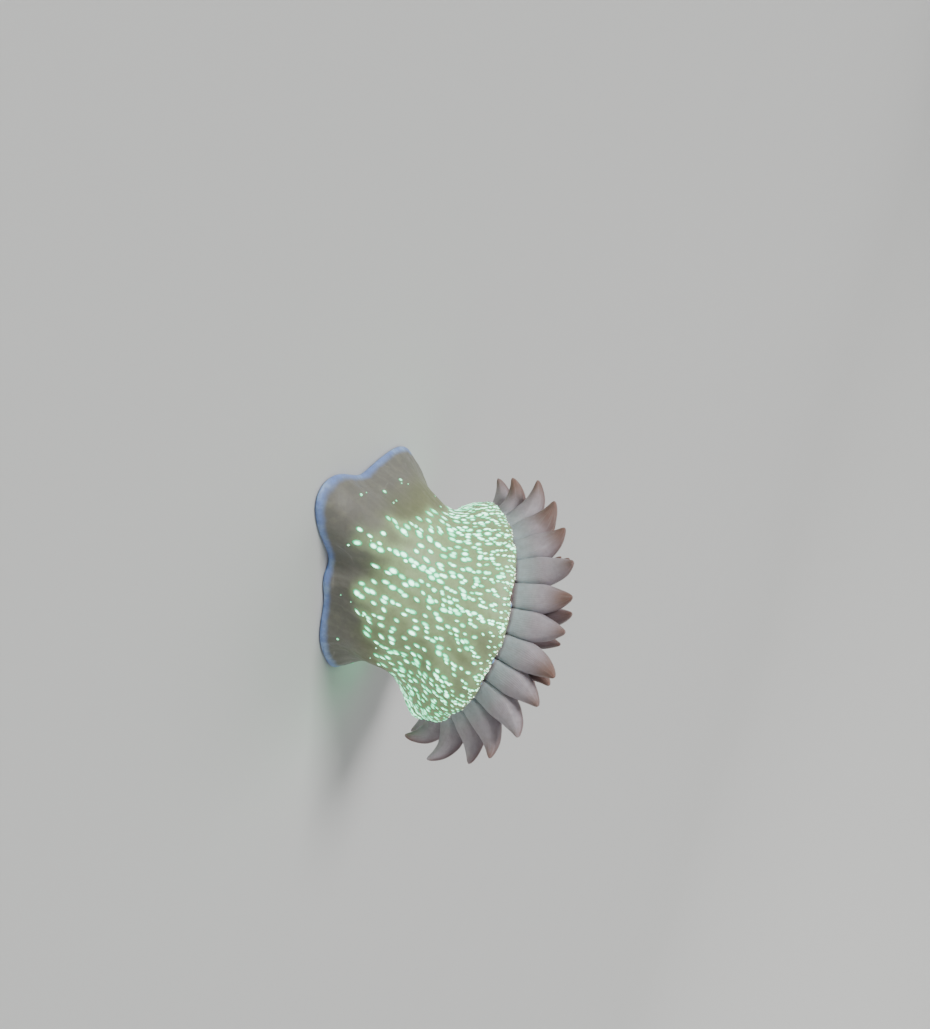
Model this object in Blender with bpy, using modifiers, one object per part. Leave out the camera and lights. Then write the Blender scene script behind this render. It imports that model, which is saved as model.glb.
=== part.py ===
"""Beadlet anemone, life size, as a still museum model: a squat column that leans over on its foot.

Metres, +Z up. The origin is the middle of the sole, which lies flat at Z = 0. The animal leans towards +Y.
The column is turned upright round a straight spine and then laid along the leaning one, and the crown
(oral disc, lips and 48 tentacles in three rings) stands on an empty at the spine's upper end.
"""

import math

import bmesh
import bpy
from mathutils import Matrix, Vector

MM = 0.001
GAP = 0.3 * MM  # between neighbouring pieces

# Spine: straight up, then an arc that leans the crown over, with a small sideways shift.
LEAN = math.radians(42)
LEAN_START = 2.5 * MM
LEAN_END = 20.5 * MM
SIDE_SHIFT = 4.7 * MM

# Column, as heights along the spine and radii round it.
FOOT_RADIUS = 23.9 * MM
FOOT_EDGE = 0.9 * MM  # rounding of the foot's margin
WAIST_RADIUS = 17.5 * MM
COLLAR_RADIUS = 22.6 * MM
FOOT_TOP = 2.7 * MM
WAIST_HEIGHT = 13.0 * MM
COLLAR_START = 18.3 * MM
COLLAR_HEIGHT = 21.5 * MM
RIM_RADIUS = 1.1 * MM  # roundness of the collar's rim
CUP_FLOOR = 20.5 * MM  # floor of the collar's cup, where the oral disc sits
COLUMN_SIDES = 40

# Foot outline: a lobe, drawn-in sides and a fine wave, all fading up the column. The lobe and the sides
# are (reach beyond the round outline, azimuth, width on either side in degrees).
FOOT_REACHES = (
    (10.4 * MM, 254.0, 30.0),
    (-7.4 * MM, 303.0, 67.0),
    (-3.0 * MM, 212.0, 32.0),
    (-5.5 * MM, 271.0, 17.0),
)
WAVE_REACH = 0.4 * MM
WAVE_COUNT = 9
SPREAD_HEIGHT = 11.0 * MM

# Beads (acrorhagi) on the inner side of the collar's rim.
BEAD_COUNT = 24
BEAD_RADIUS = 0.75 * MM
BEAD_RING = 20.75 * MM
BEAD_HEIGHT = 22.2 * MM

# Oral disc: a low elliptical dome whose shoulder bears the tentacles, dished round the mouth.
DISC_MARGIN = 19.7 * MM
DOME_INNER = 7.5 * MM
DOME_BASE = 21.6 * MM
DOME_REACH = 13.0 * MM
DOME_RISE = 3.8 * MM
DISH_DEPTH = 1.3 * MM
CONE_RISE = 1.0 * MM  # the low cone in the dish, which carries the lips
CONE_RADIUS = 0.75 * DOME_INNER
MOUTH_HALF_LENGTH = 2.6 * MM
MOUTH_HALF_WIDTH = 1.25 * MM
THROAT_DEPTH = 4.0 * MM
THROAT_TAPER = 0.6  # the cutter's lower end, as a share of its upper end
DISC_SIDES = 36
LIP_THICKNESS = 0.62 * MM
LIP_OFFSET = 1.2 * LIP_THICKNESS  # from the slit's edge to the middle of the lips

# Tentacle rings: name, count, first azimuth, ring radius, length, widest radius, mean curl in degrees
# from root to tip, and the share of the crown's uneven droop that the ring follows.
RINGS = (
    ("outer", 24, 7.5, 17.8 * MM, 14.8 * MM, 2.65 * MM, 88.0, 1.0),
    ("middle", 12, 15.0, 14.2 * MM, 16.0 * MM, 2.3 * MM, 88.0, 0.4),
    ("inner", 12, 0.0, 10.6 * MM, 15.5 * MM, 2.1 * MM, 80.0, 0.4),
)
# The droop: (extra curl in degrees, azimuth of its peak, peaks round the crown).
DROOP = ((16.0, 45.0, 1), (14.0, 12.0, 2))
# The sag, where tentacles fold back over the rim: (extra curl, azimuth, width on either side) in degrees.
SAG = ((58.0, 6.0, 25.0), (32.0, 168.0, 44.0))
LONGER_SHARE = 0.1  # how much longer the tentacles are towards the azimuth below
LONGER_AZIMUTH = 65.0
TENTACLE_SEGMENTS = 7
ROOT_SHARE = 0.74  # radius at the root and at the tip, as shares of the widest
TIP_SHARE = 0.22
WIDEST_AT = 0.44
CURL_JITTER = 8.0
SWAY_JITTER = 10.0
LENGTH_JITTER = 0.07
GOLDEN = 0.61803399  # step between the numbers of two pieces, and SALT_STEP between two kinds of scatter
SALT_STEP = 0.37


def clear_scene():
    for obj in list(bpy.data.objects):
        bpy.data.objects.remove(obj, do_unlink=True)


def new_collection(name):
    made = bpy.data.collections.new(name)
    bpy.context.scene.collection.children.link(made)
    return made


def new_material(name, colour, roughness):
    material = bpy.data.materials.new(name)
    material.diffuse_color = (*colour, 1.0)
    material.use_nodes = True
    shader = material.node_tree.nodes["Principled BSDF"]
    shader.inputs["Base Color"].default_value = (*colour, 1.0)
    shader.inputs["Roughness"].default_value = roughness
    shader.inputs["Metallic"].default_value = 0.0
    return material


def new_node(name, data, collection, material=None):
    obj = bpy.data.objects.new(name, data)
    collection.objects.link(obj)
    if material is not None:
        data.materials.clear()
        data.materials.append(material)
    return obj


def hide_as_cutter(obj):
    obj.hide_render = True
    obj.display_type = "WIRE"


def blend(t):
    """A smooth step from 0 to 1."""
    t = min(max(t, 0.0), 1.0)
    return t * t * (3.0 - 2.0 * t)


def spread(index, salt):
    """An even, repeatable scatter from -1 to 1 for a piece's number."""
    return 2.0 * math.modf(0.5 + index * GOLDEN + salt * SALT_STEP)[0] - 1.0


def spine(height):
    """(point, lean angle) of the spine at a height along it."""
    bend = LEAN / (LEAN_END - LEAN_START)
    lean = bend * (min(max(height, LEAN_START), LEAN_END) - LEAN_START)
    point = Vector((0.0, 0.0, min(height, LEAN_START)))
    point += Vector((0.0, 1.0 - math.cos(lean), math.sin(lean))) / bend
    point += max(height - LEAN_END, 0.0) * Vector((0.0, math.sin(lean), math.cos(lean)))
    point.x = SIDE_SHIFT * blend((height - LEAN_START) / (LEAN_END - LEAN_START))
    return point, lean


def posed(point):
    """Moves a point of the upright column to its place on the leaning one."""
    centre, lean = spine(point.z)
    across = Vector((0.0, math.cos(lean), -math.sin(lean)))
    return centre + Vector((point.x, 0.0, 0.0)) + point.y * across


def column_radius(height):
    """The column's radius before the foot's lobes: a flared foot, a waist and a full collar."""
    if height < WAIST_HEIGHT:
        flare = math.sin(0.5 * math.pi * height / WAIST_HEIGHT)
        return FOOT_RADIUS + (WAIST_RADIUS - FOOT_RADIUS) * flare
    rise = (height - WAIST_HEIGHT) / (COLLAR_HEIGHT - WAIST_HEIGHT)
    return WAIST_RADIUS + (COLLAR_RADIUS - WAIST_RADIUS) * 0.5 * (1.0 - math.cos(math.pi * rise))


def bump(azimuth, middle, width):
    """1 at the middle, falling to 0 a width away on either side, all in degrees."""
    away = math.remainder(azimuth - middle, 360.0)
    return blend(1.0 - abs(away) / width)


def foot_spread(azimuth, height):
    """How far the foot's outline stands out from the round one."""
    reach = WAVE_REACH * math.sin(WAVE_COUNT * azimuth)
    for size, middle, width in FOOT_REACHES:
        reach += size * bump(math.degrees(azimuth), middle, width)
    return reach * blend(1.0 - height / SPREAD_HEIGHT)


def side_profile(low, high, steps):
    """(radius, height) down the column's side from high to low."""
    heights = [high + (low - high) * i / steps for i in range(steps + 1)]
    return [(column_radius(h), h) for h in heights]


def turned_mesh(name, profile, sides):
    """A closed turned mesh from (radius, height) points that run down the outer side."""
    mesh = bpy.data.meshes.new(name + "_profile")
    points = [(radius, 0.0, height) for radius, height in profile]
    mesh.from_pydata(points, [(i, i + 1) for i in range(len(points) - 1)], [])
    turning = bpy.data.objects.new(name + "_turning", mesh)
    bpy.context.scene.collection.objects.link(turning)
    screw = turning.modifiers.new("Screw", "SCREW")
    screw.steps = screw.render_steps = sides
    screw.use_merge_vertices = True
    screw.merge_threshold = 0.01 * MM
    graph = bpy.context.evaluated_depsgraph_get()
    made = bpy.data.meshes.new_from_object(turning.evaluated_get(graph))
    made.name = name
    bpy.data.objects.remove(turning)
    made.shade_smooth()
    made.set_sharp_from_angle(angle=math.radians(50))
    return made


def column_piece(name, profile, collection, material):
    """A turned piece of the column, with the foot's lobes, laid along the leaning spine."""
    mesh = turned_mesh(name, profile, COLUMN_SIDES)
    for vertex in mesh.vertices:
        radius = math.hypot(vertex.co.x, vertex.co.y)
        azimuth = math.atan2(vertex.co.y, vertex.co.x)
        reach = foot_spread(azimuth, vertex.co.z) * radius / FOOT_RADIUS
        out = Vector((math.cos(azimuth), math.sin(azimuth), 0.0)) * reach
        vertex.co = posed(vertex.co + out)
    return new_node(name, mesh, collection, material)


def build_foot(collection, material):
    margin = [
        (column_radius(FOOT_EDGE * 1.6), FOOT_EDGE * 1.6),
        (column_radius(FOOT_EDGE * 0.7), FOOT_EDGE * 0.7),
        (FOOT_RADIUS - FOOT_EDGE, 0.0),
    ]
    top = (column_radius(FOOT_TOP), FOOT_TOP)
    return column_piece("foot", [(0.0, FOOT_TOP), top, *margin, (0.0, 0.0)], collection, material)


def build_column(collection, material):
    spans = (
        ("column_lower", FOOT_TOP + GAP, WAIST_HEIGHT, 4),
        ("column_upper", WAIST_HEIGHT + GAP, COLLAR_START - GAP, 3),
    )
    for name, low, high, steps in spans:
        profile = [(0.0, high), *side_profile(low, high, steps), (0.0, low)]
        column_piece(name, profile, collection, material)


def bead_mesh():
    """The ring of beads as one mesh of small balls, in their leaning places."""
    shape = bmesh.new()
    for i in range(BEAD_COUNT):
        azimuth = math.tau * i / BEAD_COUNT
        place = Vector((BEAD_RING * math.cos(azimuth), BEAD_RING * math.sin(azimuth), BEAD_HEIGHT))
        bmesh.ops.create_uvsphere(
            shape, u_segments=6, v_segments=4, radius=BEAD_RADIUS,
            matrix=Matrix.Translation(posed(place)) @ Matrix.Rotation(-LEAN, 4, "X"),
        )
    mesh = bpy.data.meshes.new("beads")
    shape.to_mesh(mesh)
    shape.free()
    return mesh


def build_collar(collection, cutters, material):
    """The collar: the column's full upper edge, a rounded rim and the beads on its inner side."""
    middle = COLLAR_RADIUS - RIM_RADIUS
    rim = [
        (middle + RIM_RADIUS * math.cos(angle), COLLAR_HEIGHT + RIM_RADIUS * math.sin(angle))
        for angle in (math.radians(a) for a in (180, 135, 90, 45))
    ]
    inner = middle - RIM_RADIUS
    profile = [(0.0, CUP_FLOOR), (inner, CUP_FLOOR), *rim]
    profile += [*side_profile(COLLAR_START, COLLAR_HEIGHT, 2), (0.0, COLLAR_START)]
    collar = column_piece("collar", profile, collection, material)
    beads = new_node("beads_joined", bead_mesh(), cutters)
    hide_as_cutter(beads)
    join = collar.modifiers.new("Beads", "BOOLEAN")
    join.operation = "UNION"
    join.object = beads
    return collar


def dome_height(radius):
    """Height of the oral disc's dome at a radius from its axis, outside the dished middle."""
    outward = max(radius - DOME_INNER, 0.0) / DOME_REACH
    return DOME_BASE + DOME_RISE * math.sqrt(1.0 - outward * outward)


def dome_slope(radius):
    """Elevation of the dome's normal at a radius, in degrees."""
    outward = (radius - DOME_INNER) / DOME_REACH
    rise = math.sqrt(1.0 - outward * outward)
    return math.degrees(math.atan2(rise / DOME_RISE, outward / DOME_REACH))


def crown_empty(collection):
    """The crown's frame: its origin is where the spine's lean ends, its Z runs out of the mouth."""
    empty = bpy.data.objects.new("crown", None)
    collection.objects.link(empty)
    empty.location, lean = spine(LEAN_END)
    empty.rotation_euler = (-lean, 0.0, 0.0)
    return empty


def dish_height(radius):
    """Height of the disc's dished middle at a radius, with the cone that carries the lips."""
    dish = 0.5 * (1.0 + math.cos(math.pi * radius / DOME_INNER)) * DISH_DEPTH
    cone = CONE_RISE * blend(1.0 - radius / CONE_RADIUS)
    return DOME_BASE + DOME_RISE - dish + cone


def build_oral_disc(crown, collection, cutters, material):
    """The oral disc: a turned dome with the slit of the mouth cut into its middle."""
    inside = [DOME_INNER * share for share in (0.0, 0.3, 0.5, 0.75)]
    shoulder = [DOME_INNER + (DISC_MARGIN - DOME_INNER) * i / 5 for i in range(6)]
    low = CUP_FLOOR + GAP - LEAN_END
    profile = [(r, dish_height(r) - LEAN_END) for r in inside]
    profile += [(r, dome_height(r) - LEAN_END) for r in shoulder]
    profile += [(DISC_MARGIN, low), (0.0, low)]
    disc = new_node("oral_disc", turned_mesh("oral_disc", profile, DISC_SIDES), collection, material)
    disc.parent = crown

    shape = bmesh.new()
    bmesh.ops.create_cone(
        shape, cap_ends=True, segments=16, radius1=THROAT_TAPER, radius2=1.0, depth=2.0 * THROAT_DEPTH,
        matrix=Matrix.Translation((0.0, 0.0, dish_height(0.0) - LEAN_END)),
    )
    bmesh.ops.scale(shape, vec=(MOUTH_HALF_LENGTH, MOUTH_HALF_WIDTH, 1.0), verts=shape.verts)
    mesh = bpy.data.meshes.new("throat")
    shape.to_mesh(mesh)
    shape.free()
    throat = new_node("throat_cutter", mesh, cutters)
    throat.parent = crown
    hide_as_cutter(throat)
    cut = disc.modifiers.new("Throat", "BOOLEAN")
    cut.operation = "DIFFERENCE"
    cut.object = throat
    return disc


def build_lips(crown, collection, material):
    """The lips: an oval ring round the mouth's slit, lying on the cone."""
    bpy.ops.mesh.primitive_torus_add(
        major_segments=20, minor_segments=6, major_radius=1.0, minor_radius=LIP_THICKNESS,
    )
    lips = bpy.context.object
    lips.name = lips.data.name = "lips"
    half_length = MOUTH_HALF_LENGTH + LIP_OFFSET
    half_width = MOUTH_HALF_WIDTH + LIP_OFFSET
    height = dish_height(half_width) - LEAN_END + LIP_THICKNESS + GAP
    for vertex in lips.data.vertices:
        flat = Vector((vertex.co.x, vertex.co.y))
        outward = flat.length - 1.0
        flat.normalize()
        vertex.co.x = flat.x * (half_length + outward)
        vertex.co.y = flat.y * (half_width + outward)
        vertex.co.z += height
    lips.data.shade_smooth()
    lips.data.materials.append(material)
    for owner in list(lips.users_collection):
        owner.objects.unlink(lips)
    collection.objects.link(lips)
    lips.parent = crown
    return lips


def tentacle_path(root_elevation, curl, sway, length):
    """Points from the root at the origin, in a frame with X away from the crown's axis and Z along it."""
    point = Vector((0.0, 0.0, 0.0))
    path = [point.copy()]
    for i in range(TENTACLE_SEGMENTS):
        along = (i + 0.5) / TENTACLE_SEGMENTS
        elevation = math.radians(root_elevation - curl * along)
        heading = math.radians(sway * along)
        level = math.cos(elevation)
        direction = Vector((level * math.cos(heading), level * math.sin(heading), math.sin(elevation)))
        point = point + direction * (length / TENTACLE_SEGMENTS)
        path.append(point.copy())
    return path


def tentacle_share(along):
    """A tentacle's radius as a share of its widest, which comes before its middle; then it is pointed."""
    if along < WIDEST_AT:
        return ROOT_SHARE + (1.0 - ROOT_SHARE) * blend(along / WIDEST_AT)
    taper = (along - WIDEST_AT) / (1.0 - WIDEST_AT)
    return 1.0 - (1.0 - TIP_SHARE) * taper**1.5


def build_tentacle(name, azimuth, ring_radius, length, radius, curl, sway, crown, collection, material):
    """One tentacle: a tapered tube that leaves the dome square to it and then curls outwards."""
    curve = bpy.data.curves.new(name, "CURVE")
    curve.dimensions = "3D"
    curve.bevel_depth = radius
    curve.bevel_resolution = 2
    curve.use_fill_caps = True
    path = tentacle_path(dome_slope(ring_radius), curl, sway, length)
    spline = curve.splines.new("POLY")
    spline.points.add(len(path) - 1)
    for i, point in enumerate(path):
        spline.points[i].co = (*point, 1.0)
        spline.points[i].radius = tentacle_share(i / TENTACLE_SEGMENTS)
    tentacle = new_node(name, curve, collection, material)
    tentacle.parent = crown
    slope = math.radians(dome_slope(ring_radius))
    out = ring_radius + GAP * math.cos(slope)
    up = dome_height(ring_radius) - LEAN_END + GAP * math.sin(slope)
    tentacle.location = (out * math.cos(azimuth), out * math.sin(azimuth), up)
    tentacle.rotation_euler = (0.0, 0.0, azimuth)
    return tentacle


def droop(degrees):
    """Extra curl of the tentacles at an azimuth round the crown."""
    more = sum(reach * math.cos(math.radians(peaks * (degrees - peak))) for reach, peak, peaks in DROOP)
    for reach, middle, width in SAG:
        more += reach * bump(degrees, middle, width)
    return more


def build_tentacles(crown, collection, material):
    for ring, (name, count, first, ring_radius, length, radius, curl, share) in enumerate(RINGS):
        for i in range(count):
            degrees = first + 360.0 * i / count
            longer = LONGER_SHARE * math.cos(math.radians(degrees - LONGER_AZIMUTH))
            build_tentacle(
                f"tentacle_{name}_{i + 1:02d}", math.radians(degrees), ring_radius,
                length * (1.0 + longer + LENGTH_JITTER * spread(i, ring)), radius,
                curl + share * droop(degrees) + CURL_JITTER * spread(i, ring + 3),
                SWAY_JITTER * spread(i, ring + 6), crown, collection, material,
            )


def main():
    clear_scene()
    parts = new_collection("beadlet_anemone")
    cutters = new_collection("cutters")
    limbus_blue = new_material("limbus_blue", (0.25, 0.38, 0.62), 0.35)
    column_olive = new_material("column_olive", (0.26, 0.25, 0.19), 0.35)
    disc_mauve = new_material("disc_mauve", (0.27, 0.21, 0.20), 0.4)
    lip_mauve = new_material("lip_mauve", (0.30, 0.20, 0.20), 0.4)
    tentacle_mauve = new_material("tentacle_mauve", (0.34, 0.28, 0.30), 0.35)

    build_foot(parts, limbus_blue)
    build_column(parts, column_olive)
    build_collar(parts, cutters, column_olive)
    crown = crown_empty(parts)
    build_oral_disc(crown, parts, cutters, disc_mauve)
    build_lips(crown, parts, lip_mauve)
    build_tentacles(crown, parts, tentacle_mauve)


main()
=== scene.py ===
"""Beadlet anemone: a life-size museum model, dressed round its solid frame.

One continuous skin (foot, column, collar, disc, tentacles and mouth) stands for all the solids. Spots
with a painted glow, the blue beads inside the collar and a plain pale stage go with it. Lengths inside the
functions are millimetres, in the frame of the solids: the floor is Z = 0, the sole's middle is the
origin and the column leans to +Y.
"""

import math

import bpy
import numpy as np
from bpy.props import FloatProperty, FloatVectorProperty, IntProperty, PointerProperty
from bpy.types import Operator, Panel, PropertyGroup
from mathutils import Matrix, Vector
from mathutils.bvhtree import BVHTree


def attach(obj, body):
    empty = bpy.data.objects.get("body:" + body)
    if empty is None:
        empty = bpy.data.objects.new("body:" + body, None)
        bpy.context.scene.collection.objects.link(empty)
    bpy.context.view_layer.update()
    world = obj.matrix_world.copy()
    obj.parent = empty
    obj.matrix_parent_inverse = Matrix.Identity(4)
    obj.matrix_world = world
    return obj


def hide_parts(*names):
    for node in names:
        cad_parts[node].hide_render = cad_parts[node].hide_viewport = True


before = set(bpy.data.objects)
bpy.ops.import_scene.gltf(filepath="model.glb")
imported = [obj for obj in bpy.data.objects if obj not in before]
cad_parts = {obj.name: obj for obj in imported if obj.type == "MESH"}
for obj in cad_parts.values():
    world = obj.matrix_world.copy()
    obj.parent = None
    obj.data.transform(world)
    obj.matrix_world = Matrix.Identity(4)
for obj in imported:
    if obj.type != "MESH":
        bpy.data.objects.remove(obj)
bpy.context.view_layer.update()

bl_info = {
    "name": "Beadlet Anemone",
    "version": (1, 0, 0),
    "blender": (4, 5, 0),
    "location": "View3D > Sidebar > Anemone",
    "description": "Builds a still, life-size beadlet anemone with its spots, beads and a plain stage",
    "category": "Object",
}

MM = 0.001
TURN = 2.0 * math.pi

# The solids' sizes, in millimetres. Angles in tables are degrees.
LEAN = math.radians(42.0)
LEAN_START = 2.5
LEAN_END = 20.5
SIDE_SHIFT = 4.7
FOOT_RADIUS = 23.9
WAIST_RADIUS = 17.5
COLLAR_RADIUS = 22.6
WAIST_HEIGHT = 13.0
COLLAR_HEIGHT = 21.5
RIM_RADIUS = 1.1
# The foot's lobe and drawn-in sides: reach beyond the round outline, azimuth, width on either side.
FOOT_REACHES = ((10.4, 254.0, 30.0), (-7.4, 303.0, 67.0), (-3.0, 212.0, 32.0), (-5.5, 271.0, 17.0))
WAVE_REACH = 0.4
WAVE_COUNT = 9
SPREAD_HEIGHT = 11.0  # where the column is round again
BEAD_HEIGHT = 22.2
DOME_INNER = 7.5
DOME_BASE = 21.6
DOME_REACH = 13.0
DOME_RISE = 3.8
DISH_DEPTH = 1.3
CONE_RISE = 1.0
CONE_RADIUS = 0.75 * DOME_INNER
# Rings of tentacles: count, first azimuth, ring radius, length, widest radius, curl, share of the droop.
RINGS = (
    (24, 7.5, 17.8, 14.8, 2.65, 88.0, 1.0),
    (12, 15.0, 14.2, 16.0, 2.3, 88.0, 0.4),
    (12, 0.0, 10.6, 15.5, 2.1, 80.0, 0.4),
)
DROOP = ((16.0, 45.0, 1), (14.0, 12.0, 2))  # extra curl, azimuth of its peak, peaks round the crown
SAG = ((58.0, 6.0, 25.0), (32.0, 168.0, 44.0))  # extra curl, azimuth, width on either side
LONGER = (0.1, 65.0)  # how much longer the tentacles are, as a share, and at which azimuth
ROOT_SHARE = 0.74  # radius at the root and at the tip, as shares of the widest
TIP_SHARE = 0.22
WIDEST_AT = 0.44
CURL_JITTER = 8.0
SWAY_JITTER = 10.0
LENGTH_JITTER = 0.07
GOLDEN = 0.61803399  # step from one piece's scatter to the next, and SALT_STEP between two kinds of it
SALT_STEP = 0.37

# The skin's cage. The column's rows are heights.
SECTORS = 48
SECTOR_AZIMUTH = np.arange(SECTORS) * TURN / SECTORS
SOLE_ROWS = (0.33, 0.66, 0.9)  # shares of the foot's radius
SOLE_EDGE = 0.85  # from the sole's last row out to the foot's outline
COLUMN_ROWS = (0.5, 1.2, 2.1, 3.3, 4.8, 6.4, 8.0, 9.6, 11.2, 12.8, 14.4, 16.0, 17.5, 18.9, 20.2, 21.4)
RIM_ANGLES = (38, 84, 130, 176)
RIM_ROUND = 1.06  # how far the cage stands out, as a share, so that the rounded skin keeps its size
CAGE_ROUND = 1.108  # the same on a tentacle
GROOVE_ROWS = ((20.2, 21.1), (19.9, 20.95), (19.7, 21.7))  # radius, height
RIM_TO_DISC = (0.0, 0.0, 0.2, 0.5, 0.8, 1.0, 1.0)  # how far each row from the rim on is disc
TENTACLE_ROWS = (19.6, 17.8, 16.0, 14.2, 12.4, 10.6, 8.8)  # radii
WIDE_CELL = math.radians(4.0)  # how much wider the cells get round the inner tentacles
DISH_ROWS = (7.4, 6.2, 5.2)  # radii
# Lips and throat: half length, half width, height, how far into the mouth.
MOUTH_ROWS = (
    (4.5, 3.15, 25.0, 0.25), (4.0, 2.68, 25.35, 0.6), (3.78, 2.42, 26.1, 0.9), (3.34, 1.99, 26.75, 1.0),
    (2.9, 1.5, 26.3, 1.0), (2.68, 1.2, 25.2, 1.0), (2.45, 1.05, 23.9, 1.0), (2.15, 0.9, 22.6, 1.0),
    (1.8, 0.75, 21.6, 1.0),
)
ON_CROWN = 30.0  # the height that the disc and the tentacles carry as an attribute
TENTACLE_RINGS = (0.05, 0.17, 0.31, 0.46, 0.61, 0.75, 0.88, 0.97)  # shares of a tentacle's length
TENTACLE_END = 1.035  # where the point that closes the tip stands
CURL_STEPS = 120  # along a tentacle
ROOT_LIFT = 0.3  # from the dome to a tentacle's root
FAN = 1.14  # width of the outer tentacles' roots, as a share of what makes them touch
BROWNER_SIDE = 195.0  # azimuth of the brownest tips

# The relief: the pitch of the folds, and the number of furrows, ribs and rays round the axis.
FOLD_PITCH = 2.9
FURROWS = 48.0
LOW_FURROWS = 56.0
COLLAR_RIBS = 24.0
DISC_RIBS = 48.0
DISC_RAYS = 24.0
LIP_RIBS = 24.0

# The spots.
LOW_SIDE = math.radians(272.0)  # where they begin lowest
LOWEST_START = 5.2
START_CLIMB = 11.0
HIGHEST_START = 13.5
SPOT_BAND = (4.0, 21.9)  # heights
SPOT_TOP = 21.6  # where streaks end
SPOT_TRIES = 42000
SPOT_GAPS = (0.84, 1.12)  # narrowest and widest, as shares of the spacing
LENGTHWISE = 1.1  # how much closer spots may stand along the column than across it
LOOSE_SPOTS = 48
# Painted glow: how far round a spot its light is painted on the flesh.
PAINTED_GLOW_REACH = 1.15  # how far a spot lights the flesh round it
THIN = 1e-5  # thickness in metres of a spot before it is raised

# The camera in millimetres, and the stage in metres.
LENS = 43.7
AIM_RIGHT = 20.4
AIM_UP = 8.3
FLOOR_RADIUS = 1.2
COVE = 0.8
WALL_TOP = 1.1
STAGE_SIDES = 96
LAMPS = (  # name, where it shines from, softness in degrees, share of the key light
    ("key", (-0.58, -0.48, 0.62), 24.0, 1.0),
    ("fill", (0.6, -0.5, 0.6), 40.0, 0.06),
    ("back", (-0.2, 0.7, 0.7), 40.0, 0.26),
)
ROOM_COLOUR = (0.9, 0.93, 1.0, 1.0)
ROOM_LIGHT = 0.27


def tint(red, green, blue):
    """A display colour, 0 to 255, as linear light."""
    return tuple(
        round(c / 12.92 if c <= 0.04045 else ((c + 0.055) / 1.055) ** 2.4, 5)
        for c in (red / 255, green / 255, blue / 255)
    )


def colour(name, description, default):
    return FloatVectorProperty(
        name=name, description=description, subtype="COLOR", min=0.0, max=1.0, default=tint(*default)
    )


def length(name, description, default):
    return FloatProperty(
        name=name, description=description, subtype="DISTANCE", unit="LENGTH",
        min=0.0, default=default * MM, precision=5,
    )


def angle(name, description, default):
    return FloatProperty(
        name=name, description=description, subtype="ANGLE", unit="ROTATION", default=math.radians(default)
    )


def number(name, description, default, least=0):
    return IntProperty(name=name, description=description, default=default, min=least)


class SkinSettings(PropertyGroup):
    limbus_height: length("Edge line", "Height of the blue line round the foot", 1.5)
    furrow_depth: length("Furrows", "Depth of the column's furrows", 0.05)
    fold_depth: length("Folds", "Depth of the folds on the leaning side", 0.32)
    lump_depth: length("Unevenness", "Depth of the column's soft lumps", 0.28)
    limbus: colour("Edge line colour", "Blue line round the foot", (122, 148, 204))
    foot_grey: colour("Lower column", "Unspotted grey above the foot", (122, 120, 112))
    olive: colour("Column", "Olive grey of the spotted column", (128, 132, 98))
    # Painted glow: the colour painted on the flesh near the spots, for their light.
    lit: colour("Lit flesh", "Flesh that glows with the spots near it", (176, 204, 150))
    rim: colour("Collar edge", "Edge of the collar", (126, 134, 108))
    disc: colour("Disc", "Oral disc", (118, 86, 86))
    mouth: colour("Lips", "Lips and throat", (140, 84, 84))
    root: colour("Tentacle root", "Blue-grey of the tentacle roots", (178, 192, 192))
    tentacle: colour("Tentacle", "Mauve-grey of the tentacles", (168, 160, 166))
    tip: colour("Tentacle tip", "Brown of the tentacle tips", (132, 104, 94))
    # Partly painted shade: this red brown also darkens the gaps between tentacles and the inner rings.
    inner: colour("Tentacle inner side", "Red brown of the side towards the mouth", (90, 50, 44))


class SpotSettings(PropertyGroup):
    low_spacing: length("Low spacing", "Space between the spots low on the column", 1.7)
    high_spacing: length("Collar spacing", "Space between the spots at the collar", 0.92)
    low_length: length("Spot length", "Length of a spot low on the column", 1.9)
    high_length: length("Collar spot length", "Length of a spot at the collar", 1.2)
    height: length("Spot height", "How far a spot stands out of the skin", 0.12)
    rim_specks: number("Rim specks", "Warm specks on the collar's edge", 190)
    seed: number("Seed", "Scatter of the spots", 11)
    core: colour("Spot middle", "Pale mint of a spot's middle", (196, 255, 225))
    edge: colour("Spot edge", "Aqua green of a spot's edge", (26, 206, 132))
    warm: colour("Rim speck", "Salmon white of the rim's specks", (236, 208, 196))
    # The strength of the spots' painted glow, their emission.
    glow: FloatProperty(name="Glow", description="Strength of the spots' own light", default=5.4, min=0.0)


class BeadSettings(PropertyGroup):
    count: number("Beads", "Number of beads inside the collar", 24, 3)
    radius: length("Bead radius", "Radius of a bead", 0.78)
    ring: length("Ring radius", "Radius of the ring of beads", 20.75)
    seed: number("Seed", "Scatter of the beads' sizes", 3)
    blue: colour("Bead colour", "Sky blue of the beads", (128, 176, 226))


class StageSettings(PropertyGroup):
    floor: colour("Floor", "Plain pale floor and backdrop", (206, 206, 203))
    distance: length("Camera distance", "From the camera to the animal", 250.0)
    elevation: angle("Elevation", "Height of the camera above the floor, as an angle", 18.0)
    roll: angle("Roll", "How far the floor's upright leans below the view's right", 18.0)
    power: FloatProperty(name="Light", description="Strength of the key light", default=3.3, min=0.0)


# ---- The animal's form ----


def smooth(value, low, high):
    """A smooth step from 0 at low to 1 at high."""
    t = np.clip((np.asarray(value, float) - low) / (high - low), 0.0, 1.0)
    return t * t * (3.0 - 2.0 * t)


def spread(index, salt):
    """An even, repeatable scatter from -1 to 1 for a piece's number."""
    return 2.0 * math.modf(0.5 + index * GOLDEN + salt * SALT_STEP)[0] - 1.0


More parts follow.
